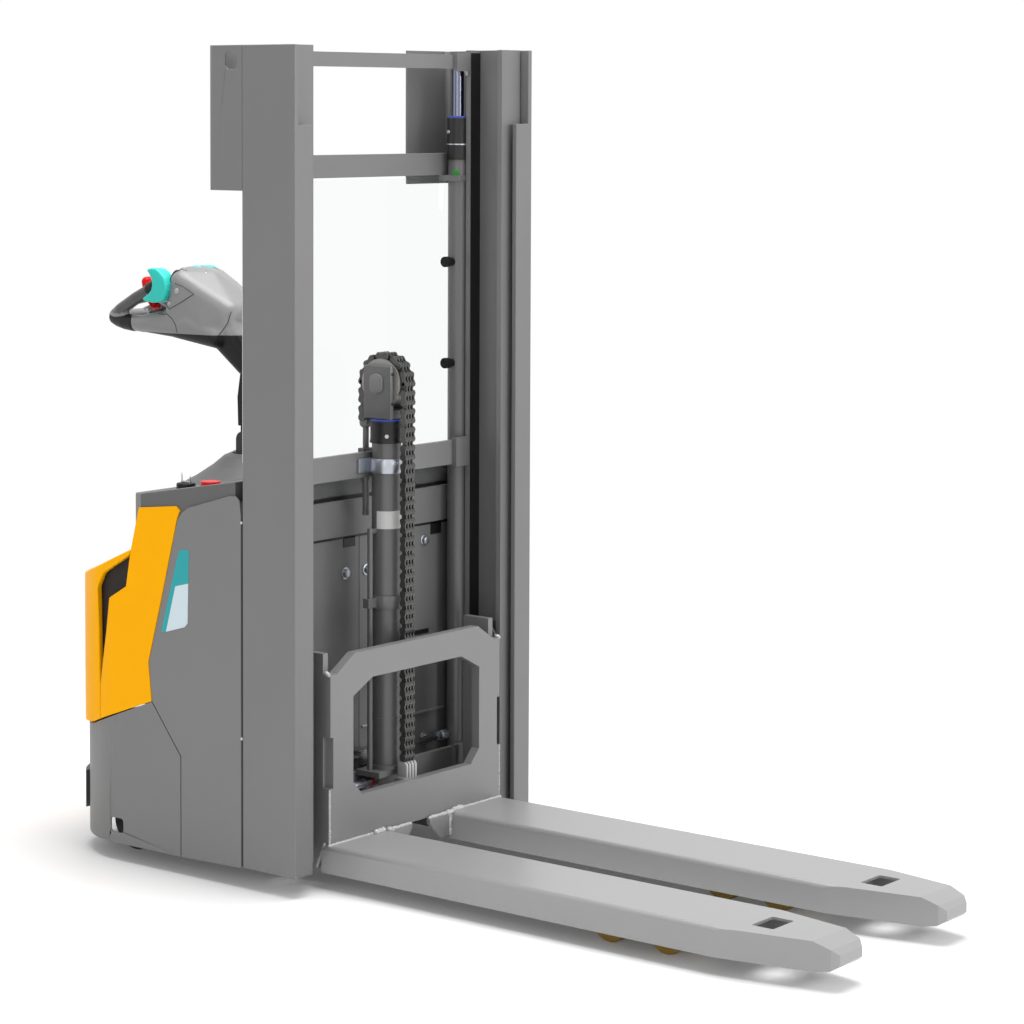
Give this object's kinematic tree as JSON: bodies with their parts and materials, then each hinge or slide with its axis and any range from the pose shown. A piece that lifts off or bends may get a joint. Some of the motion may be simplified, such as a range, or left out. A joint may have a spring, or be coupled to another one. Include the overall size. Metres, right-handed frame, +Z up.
{
  "type": "electric stacker",
  "caption": "Electric pedestrian stacker with a telescopic free-lift mast, forks over support arms, a steered drive wheel, castors and a tiller.",
  "frame": {"origin": "middle of the truck's box at floor level", "axes": "+X across the truck, +Y from the fork tips towards the tiller, +Z up"},
  "size_m": [0.77, 2.0238, 1.7],
  "materials": {
    "frame_grey": "satin",
    "mast_grey": "satin",
    "cylinder_grey": "satin",
    "clear_screen": "gloss",
    "black_plastic": "satin",
    "key_plastic": "satin",
    "cover_grey": "satin",
    "yellow_cover": "satin",
    "tray_dark": "satin",
    "deck_grey": "matte",
    "cowl_dark": "satin",
    "panel_dark": "satin",
    "battery_black": "matte",
    "pump_paint": "satin",
    "cast_aluminium": "satin",
    "pipe_steel": "satin",
    "red_button": "gloss",
    "chromed_rod": "polished",
    "zinc_clamp": "satin",
    "roller_steel": "satin",
    "carriage_grey": "satin",
    "fork_metal": "satin",
    "yoke_steel": "satin",
    "sheave_iron": "satin",
    "chain_steel": "matte",
    "motor_black": "satin",
    "drive_tyre": "matte",
    "zinc_steel": "satin",
    "castor_rubber": "matte",
    "bogie_steel": "satin",
    "load_polyurethane": "matte",
    "tiller_plastic": "satin",
    "teal_control": "gloss"
  },
  "bodies": {
    "truck": {"chassis_frame": "frame_grey", "support_arm_left": "frame_grey", "support_arm_right": "frame_grey", "outer_mast_left": "mast_grey", "outer_mast_right": "mast_grey", "outer_mast_plates": "mast_grey", "lift_cylinders": "cylinder_grey", "hand_guard_screen": "clear_screen", "screen_knobs": "black_plastic", "side_cover_left": "cover_grey", "side_cover_right": "cover_grey", "lower_cover": "cover_grey", "yellow_panel_left": "yellow_cover", "yellow_panel_right": "yellow_cover", "rear_bow": "yellow_cover", "storage_tray": "tray_dark", "deck_cover": "deck_grey", "tiller_cowl": "cowl_dark", "front_panel": "panel_dark", "battery": "battery_black", "pump_unit": "pump_paint", "motor_controller": "cast_aluminium", "hydraulic_pipes": "pipe_steel", "key_switch": "black_plastic"},
    "inner_mast": {"inner_mast_left": "mast_grey", "inner_mast_right": "mast_grey", "inner_mast_bars": "mast_grey", "piston_rods": "chromed_rod", "free_lift_barrel": "cylinder_grey", "cylinder_clamps": "zinc_clamp"},
    "mast_rollers_lower": {"mast_rollers_lower": "roller_steel"},
    "mast_rollers_upper": {"mast_rollers_upper": "roller_steel"},
    "carriage": {"carriage_frame": "carriage_grey", "fork_left": "fork_metal", "fork_right": "fork_metal"},
    "carriage_rollers_lower": {"carriage_rollers_lower": "roller_steel"},
    "carriage_rollers_upper": {"carriage_rollers_upper": "roller_steel"},
    "pulley": {"lift_rod_yoke": "yoke_steel", "chain_front": "chain_steel", "chain_rear": "chain_steel"},
    "sheave": {"chain_sheave": "sheave_iron"},
    "drive_unit": {"drive_unit": "motor_black"},
    "drive_wheel": {"drive_wheel": "drive_tyre"},
    "castor_fork_left": {"castor_fork_left": "zinc_steel"},
    "castor_fork_right": {"castor_fork_right": "zinc_steel"},
    "castor_wheel_left": {"castor_wheel_left": "castor_rubber"},
    "castor_wheel_right": {"castor_wheel_right": "castor_rubber"},
    "bogie_left": {"bogie_left": "bogie_steel"},
    "bogie_right": {"bogie_right": "bogie_steel"},
    "load_roller_left_front": {"load_roller_left_front": "load_polyurethane"},
    "load_roller_left_rear": {"load_roller_left_rear": "load_polyurethane"},
    "load_roller_right_front": {"load_roller_right_front": "load_polyurethane"},
    "load_roller_right_rear": {"load_roller_right_rear": "load_polyurethane"},
    "tiller": {"tiller_arm": "tiller_plastic", "tiller_head": "tiller_plastic"},
    "speed_butterfly": {"speed_butterfly": "teal_control"},
    "belly_button": {"belly_button": "red_button"},
    "lift_rocker": {"lift_rocker": "teal_control"},
    "ignition_key": {"ignition_key": "key_plastic"},
    "emergency_stop": {"emergency_stop": "red_button"}
  },
  "joints": [
    {"name": "mast_lift", "type": "slide", "parent": "truck", "child": "inner_mast", "axis": [0, 0, 1], "range_m": [0, 1.15]},
    {"name": "mast_roller_lower_spin", "type": "hinge", "parent": "inner_mast", "child": "mast_rollers_lower", "pos_m": [0, 0.2205, 0.1201], "axis": [1, 0, 0], "range_deg": [-1136, 0]},
    {"name": "mast_roller_upper_spin", "type": "hinge", "parent": "inner_mast", "child": "mast_rollers_upper", "pos_m": [0, 0.2205, 0.3263], "axis": [1, 0, 0], "range_deg": [0, 1136]},
    {"name": "free_lift", "type": "slide", "parent": "inner_mast", "child": "carriage", "axis": [0, 0, 1], "range_m": [0, 1.15]},
    {"name": "carriage_roller_lower_spin", "type": "hinge", "parent": "carriage", "child": "carriage_rollers_lower", "pos_m": [0, 0.22, 0.125], "axis": [1, 0, 0], "range_deg": [-1802, 0]},
    {"name": "carriage_roller_upper_spin", "type": "hinge", "parent": "carriage", "child": "carriage_rollers_upper", "pos_m": [0, 0.22, 0.424], "axis": [1, 0, 0], "range_deg": [0, 1802]},
    {"name": "pulley_lift", "type": "slide", "parent": "inner_mast", "child": "pulley", "axis": [0, 0, 1], "range_m": [0, 0.575], "deforming": ["chain_front", "chain_rear"]},
    {"name": "sheave_spin", "type": "hinge", "parent": "pulley", "child": "sheave", "pos_m": [0, 0.236, 1.003], "axis": [1, 0, 0], "range_deg": [-580, 0]},
    {"name": "steer", "type": "hinge", "parent": "truck", "child": "drive_unit", "pos_m": [0, 0.618, 0.285], "axis": [0, 0, 1], "range_deg": [-90, 90]},
    {"name": "drive_wheel_spin", "type": "hinge", "parent": "drive_unit", "child": "drive_wheel", "pos_m": [0, 0.618, 0.115], "axis": [1, 0, 0], "continuous": true},
    {"name": "tiller_tilt", "type": "hinge", "parent": "drive_unit", "child": "tiller", "pos_m": [0, 0.615, 0.858], "axis": [-1, 0, 0], "range_deg": [0, 45], "stiffness_Nm_per_rad": 30, "springref_deg": -51.57},
    {"name": "speed_control", "type": "hinge", "parent": "tiller", "child": "speed_butterfly", "pos_m": [0, 0.815, 1.186], "axis": [1, 0, 0], "range_deg": [-35, 35], "stiffness_Nm_per_rad": 0.6},
    {"name": "belly_press", "type": "slide", "parent": "tiller", "child": "belly_button", "axis": [0, -1, 0], "range_m": [0, 0.005], "stiffness_N_per_m": 400, "springref_m": -0.004},
    {"name": "lift_rocker_tilt", "type": "hinge", "parent": "tiller", "child": "lift_rocker", "pos_m": [0, 0.783, 1.209], "axis": [1, 0, 0], "range_deg": [-8, 8], "stiffness_Nm_per_rad": 0.4},
    {"name": "key_turn", "type": "hinge", "parent": "truck", "child": "ignition_key", "pos_m": [-0.3, 0.528, 0.8], "axis": [0, 0, 1], "range_deg": [0, 90]},
    {"name": "emergency_stop_pull", "type": "slide", "parent": "truck", "child": "emergency_stop", "axis": [0, 0, 1], "range_m": [0, 0.012]},
    {"name": "castor_swivel_left", "type": "hinge", "parent": "truck", "child": "castor_fork_left", "pos_m": [-0.273, 0.658, 0.15], "axis": [0, 0, 1], "continuous": true},
    {"name": "castor_spin_left", "type": "hinge", "parent": "castor_fork_left", "child": "castor_wheel_left", "pos_m": [-0.273, 0.686, 0.0625], "axis": [1, 0, 0], "continuous": true},
    {"name": "bogie_rock_left", "type": "hinge", "parent": "truck", "child": "bogie_left", "pos_m": [-0.1925, -0.569, 0.04], "axis": [1, 0, 0], "range_deg": [-3, 3]},
    {"name": "load_roller_spin_left_front", "type": "hinge", "parent": "bogie_left", "child": "load_roller_left_front", "pos_m": [-0.1925, -0.634, 0.04], "axis": [1, 0, 0], "continuous": true},
    {"name": "load_roller_spin_left_rear", "type": "hinge", "parent": "bogie_left", "child": "load_roller_left_rear", "pos_m": [-0.1925, -0.504, 0.04], "axis": [1, 0, 0], "continuous": true},
    {"name": "castor_swivel_right", "type": "hinge", "parent": "truck", "child": "castor_fork_right", "pos_m": [0.273, 0.658, 0.15], "axis": [0, 0, 1], "continuous": true},
    {"name": "castor_spin_right", "type": "hinge", "parent": "castor_fork_right", "child": "castor_wheel_right", "pos_m": [0.273, 0.686, 0.0625], "axis": [1, 0, 0], "continuous": true},
    {"name": "bogie_rock_right", "type": "hinge", "parent": "truck", "child": "bogie_right", "pos_m": [0.1925, -0.569, 0.04], "axis": [1, 0, 0], "range_deg": [-3, 3]},
    {"name": "load_roller_spin_right_front", "type": "hinge", "parent": "bogie_right", "child": "load_roller_right_front", "pos_m": [0.1925, -0.634, 0.04], "axis": [1, 0, 0], "continuous": true},
    {"name": "load_roller_spin_right_rear", "type": "hinge", "parent": "bogie_right", "child": "load_roller_right_rear", "pos_m": [0.1925, -0.504, 0.04], "axis": [1, 0, 0], "continuous": true}
  ],
  "couplings": [
    {"joint": "pulley_lift", "follows": "free_lift", "ratio": 0.5},
    {"joint": "sheave_spin", "follows": "free_lift", "rad_per_m": -8.7719},
    {"joint": "mast_roller_lower_spin", "follows": "mast_lift", "rad_per_m": -17.212},
    {"joint": "mast_roller_upper_spin", "follows": "mast_lift", "rad_per_m": 17.212},
    {"joint": "carriage_roller_lower_spin", "follows": "free_lift", "rad_per_m": -27.322},
    {"joint": "carriage_roller_upper_spin", "follows": "free_lift", "rad_per_m": 27.322}
  ]
}
